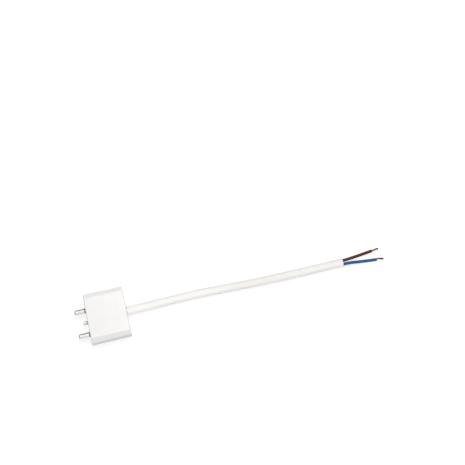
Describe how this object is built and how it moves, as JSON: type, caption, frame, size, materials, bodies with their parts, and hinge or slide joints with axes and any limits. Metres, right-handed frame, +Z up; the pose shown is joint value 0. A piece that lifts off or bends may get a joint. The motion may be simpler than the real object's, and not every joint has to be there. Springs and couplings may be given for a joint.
{
  "type": "ceiling light plug",
  "caption": "Flat white ceiling light plug with bevelled sides, round contact pins, a plastic centre peg and a short two-core lead with stripped ends.",
  "frame": {"origin": "on the face that the plug lies on, under the middle of the housing and its pins", "axes": "-X the way the pins point, +X towards the cord, +Y across the plug towards the line pin, +Z up"},
  "size_m": [0.2447, 0.037, 0.011],
  "materials": {
    "white_shell": "fine satin moulding",
    "nickel": "bright nickel plating on turned brass",
    "zinc_steel": "zinc plated",
    "cord_white": "soft satin PVC",
    "core_brown": "smooth PVC",
    "core_blue": "smooth PVC",
    "copper": "twisted fine strands, dulled"
  },
  "bodies": {
    "root": {"housing_base": "white_shell", "housing_cover": "white_shell", "line_contact": "nickel", "neutral_contact": "nickel", "terminal_screws": "zinc_steel", "housing_screw": "zinc_steel", "cord_sheath": "cord_white", "brown_core": "core_brown", "blue_core": "core_blue", "brown_conductor": "copper", "blue_conductor": "copper"}
  },
  "joints": []
}
